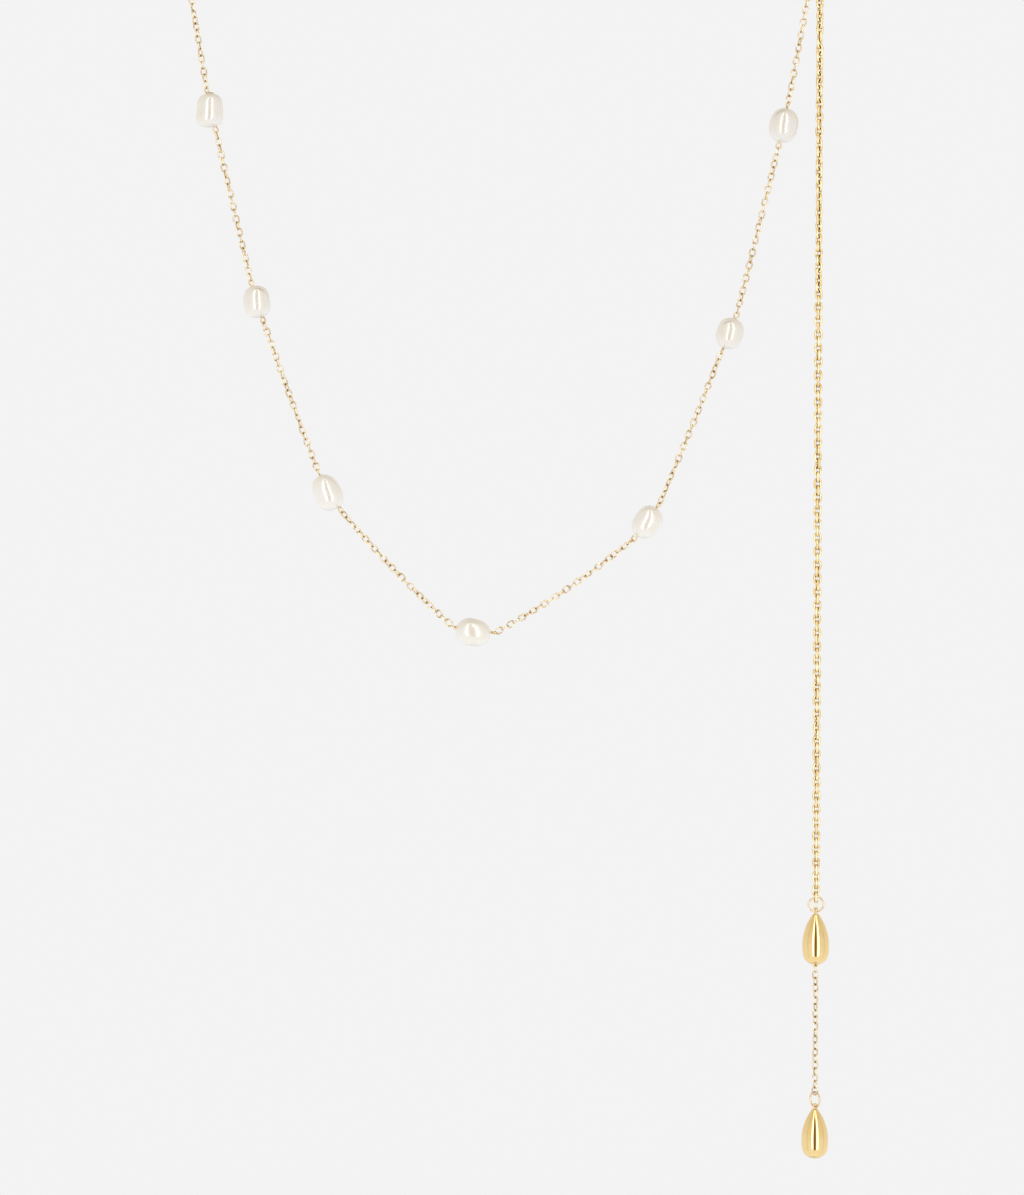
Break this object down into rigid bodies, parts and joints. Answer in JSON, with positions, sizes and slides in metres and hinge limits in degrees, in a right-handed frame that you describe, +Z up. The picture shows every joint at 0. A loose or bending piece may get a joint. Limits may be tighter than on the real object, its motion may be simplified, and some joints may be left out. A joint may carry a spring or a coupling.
{
  "type": "backdrop necklace",
  "caption": "Fine gold cable-chain necklace with drilled white pearls along its front and a heavier hanging strand that ends in two polished teardrops.",
  "frame": {"origin": "the nape: the middle of the chain's back stretch, on its centre line", "axes": "+Z up as worn, -Y to the front, +X the side that the strand hangs on"},
  "size_m": [0.1251, 0.0334, 0.2367],
  "materials": {
    "pearl": "glossy nacre",
    "fine_gold": "light gold plate, polished",
    "strand_gold": "yellow gold plate, polished",
    "polished_gold": "mirror-polished gold plate"
  },
  "bodies": {
    "necklace": {"pearl_1": "pearl", "pearl_2": "pearl", "pearl_3": "pearl", "pearl_4": "pearl", "pearl_5": "pearl", "pearl_6": "pearl", "pearl_7": "pearl", "eye_pin_1": "fine_gold", "eye_pin_2": "fine_gold", "eye_pin_3": "fine_gold", "eye_pin_4": "fine_gold", "eye_pin_5": "fine_gold", "eye_pin_6": "fine_gold", "eye_pin_7": "fine_gold", "chain_1": "fine_gold", "chain_2": "fine_gold", "chain_3": "fine_gold", "chain_4": "fine_gold", "chain_5": "fine_gold", "chain_6": "fine_gold", "chain_7": "fine_gold", "back_chain_left": "fine_gold", "back_chain_right": "fine_gold", "drop_chain": "fine_gold", "tie_link": "fine_gold", "clasp": "fine_gold", "strand": "strand_gold", "strand_end_link": "strand_gold", "corner_ring": "strand_gold", "upper_ring": "polished_gold", "lower_ring": "polished_gold", "upper_teardrop": "polished_gold"},
    "end_drop": {"lower_teardrop": "polished_gold"}
  },
  "joints": [
    {"name": "end_drop_swing", "type": "hinge", "parent": "necklace", "child": "end_drop", "pos_m": [0.06055, -0.0282, -0.22625], "axis": [0.5592, -0.829, 0], "range_deg": [-70, 70]}
  ]
}
